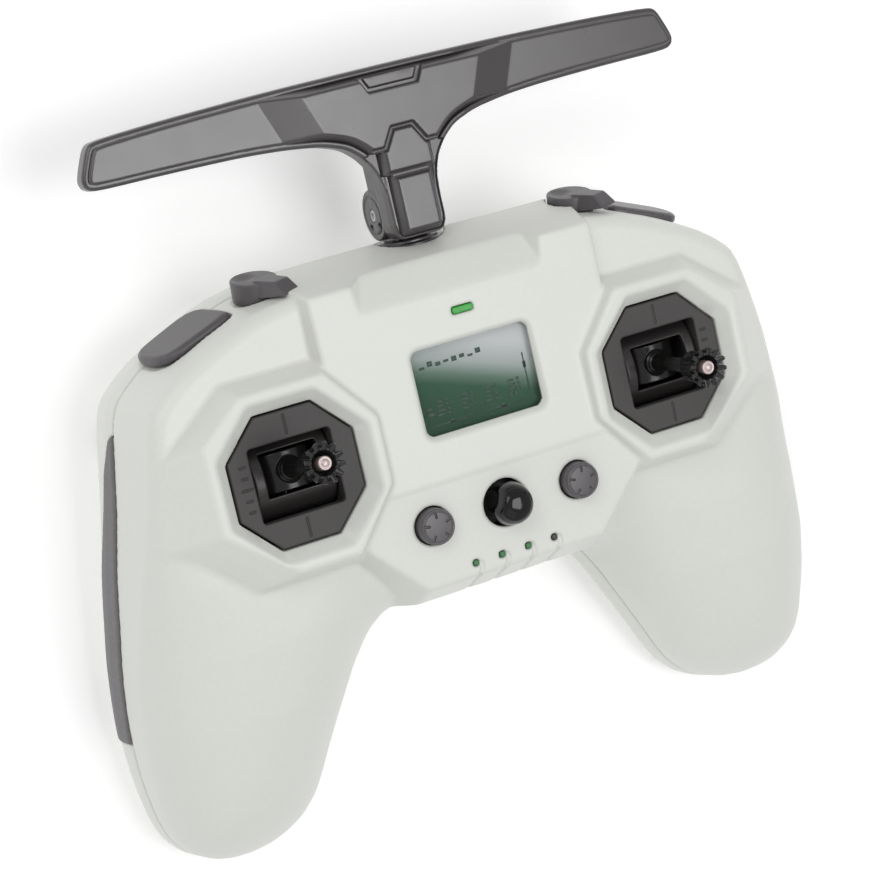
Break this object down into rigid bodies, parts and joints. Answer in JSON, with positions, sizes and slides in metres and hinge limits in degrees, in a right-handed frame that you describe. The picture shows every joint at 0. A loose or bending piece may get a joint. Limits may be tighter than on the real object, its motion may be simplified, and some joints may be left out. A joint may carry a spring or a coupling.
{
  "type": "radio transmitter controller",
  "caption": "Hand-held radio transmitter for flying models: gamepad-shaped case with gimbal sticks, display, menu buttons, shoulder paddles, top levers and a folding T antenna.",
  "frame": {"origin": "under the middle of the whole object, on the surface its flat back lies on", "axes": "+X to the user's right, +Y towards the antenna, +Z out of the face"},
  "size_m": [0.1878, 0.1774, 0.0714],
  "materials": {
    "shell": "satin moulded plastic with a very fine texture",
    "grip": "soft textured rubber",
    "plate": "fine matt moulded plastic",
    "drum": "dark, brushed along the cylinder",
    "stick_metal": "dark anodised, with a brassy shaft",
    "stick_black": "gloss black",
    "stick_silver": "satin, faintly pink",
    "window": "clear hard-coated",
    "display": "green display with dark marks",
    "light": "green lit light pipe",
    "button": "satin",
    "knob": "gloss black",
    "lever": "satin",
    "paddle": "satin",
    "antenna": "satin moulded plastic",
    "switch": "plain black",
    "board": "green solder mask",
    "can": "tinned shield",
    "cell": "blue shrink sleeve",
    "steel": "plain steel",
    "copper": "copper foil on a thin board"
  },
  "bodies": {
    "case": {"front_shell": "shell", "rear_shell": "shell", "grip_left": "grip", "grip_right": "grip", "gimbal_frame_left": "plate", "gimbal_frame_right": "plate", "gimbal_sensors": "board", "lcd_window": "window", "lcd_module": "display", "power_light": "light", "battery_lights": "light", "knob_socket": "switch", "lever_switches": "switch", "paddle_switches": "switch", "button_switches": "switch", "main_board": "board", "radio_module": "can", "battery_pack": "cell", "speaker": "switch", "vibration_motor": "can", "usb_port": "steel", "case_screws": "steel", "antenna_socket": "switch"},
    "yoke_left": {"yoke_left": "drum"},
    "stick_left": {"stick_left": "stick_metal", "stick_head_left": "stick_black", "stick_tip_left": "stick_silver"},
    "yoke_right": {"yoke_right": "drum"},
    "stick_right": {"stick_right": "stick_metal", "stick_head_right": "stick_black", "stick_tip_right": "stick_silver"},
    "menu_button_left": {"menu_button_left": "button"},
    "menu_button_right": {"menu_button_right": "button"},
    "knob_press": {"knob_carrier": "switch"},
    "knob_tilt": {"knob_ring": "switch"},
    "knob": {"knob_cap": "knob"},
    "paddle_left": {"paddle_left": "paddle"},
    "paddle_right": {"paddle_right": "paddle"},
    "lever_left": {"lever_left": "lever"},
    "lever_right": {"lever_right": "lever"},
    "antenna_base": {"antenna_collar": "antenna"},
    "antenna": {"antenna_back": "antenna", "antenna_front": "antenna", "antenna_element": "copper", "hinge_pin": "steel"}
  },
  "joints": [
    {"name": "throttle", "type": "hinge", "parent": "case", "child": "yoke_left", "pos_m": [-0.0485, 0.0045, 0.0384], "axis": [1, 0, 0], "range_deg": [-13.5, 30.5]},
    {"name": "rudder", "type": "hinge", "parent": "yoke_left", "child": "stick_left", "pos_m": [-0.0485, 0.0045, 0.0384], "axis": [0, 0.989, -0.1478], "range_deg": [-22, 22], "stiffness_Nm_per_rad": 0.03},
    {"name": "elevator", "type": "hinge", "parent": "case", "child": "yoke_right", "pos_m": [0.0485, 0.0045, 0.0384], "axis": [1, 0, 0], "range_deg": [-22, 22], "stiffness_Nm_per_rad": 0.03},
    {"name": "aileron", "type": "hinge", "parent": "yoke_right", "child": "stick_right", "pos_m": [0.0485, 0.0045, 0.0384], "axis": [0, 1, 0], "range_deg": [-22, 22], "stiffness_Nm_per_rad": 0.03},
    {"name": "menu_button_left_press", "type": "slide", "parent": "case", "child": "menu_button_left", "axis": [0, 0, 1], "range_m": [-0.0005, 0], "stiffness_N_per_m": 600},
    {"name": "menu_button_right_press", "type": "slide", "parent": "case", "child": "menu_button_right", "axis": [0, 0, 1], "range_m": [-0.0005, 0], "stiffness_N_per_m": 600},
    {"name": "knob_press", "type": "slide", "parent": "case", "child": "knob_press", "axis": [0, 0, 1], "range_m": [-0.0004, 0], "stiffness_N_per_m": 800},
    {"name": "knob_up_down", "type": "hinge", "parent": "knob_press", "child": "knob_tilt", "pos_m": [0, -0.0161, 0.0452], "axis": [1, 0, 0], "range_deg": [-4, 4], "stiffness_Nm_per_rad": 0.05},
    {"name": "knob_left_right", "type": "hinge", "parent": "knob_tilt", "child": "knob", "pos_m": [0, -0.0161, 0.0452], "axis": [0, 1, 0], "range_deg": [-4, 4], "stiffness_Nm_per_rad": 0.05},
    {"name": "paddle_left_press", "type": "slide", "parent": "case", "child": "paddle_left", "axis": [0.354, -0.9221, -0.1564], "range_m": [0, 0.0008], "stiffness_N_per_m": 800},
    {"name": "paddle_right_press", "type": "slide", "parent": "case", "child": "paddle_right", "axis": [-0.354, -0.9221, -0.1564], "range_m": [0, 0.0008], "stiffness_N_per_m": 800},
    {"name": "lever_left_flip", "type": "hinge", "parent": "case", "child": "lever_left", "pos_m": [-0.0418, 0.045, 0.0324], "axis": [0, 0.9848, 0.1736], "range_deg": [-50, 0]},
    {"name": "lever_right_flip", "type": "hinge", "parent": "case", "child": "lever_right", "pos_m": [0.0418, 0.045, 0.0324], "axis": [0, 0.9848, 0.1736], "range_deg": [-50, 0]},
    {"name": "antenna_swivel", "type": "hinge", "parent": "case", "child": "antenna_base", "pos_m": [0, 0.0452, 0.0262], "axis": [0, 1, 0], "range_deg": [-90, 90]},
    {"name": "antenna_fold", "type": "hinge", "parent": "antenna_base", "child": "antenna", "pos_m": [0, 0.0543, 0.0262], "axis": [1, 0, 0], "range_deg": [-90, 0]}
  ]
}
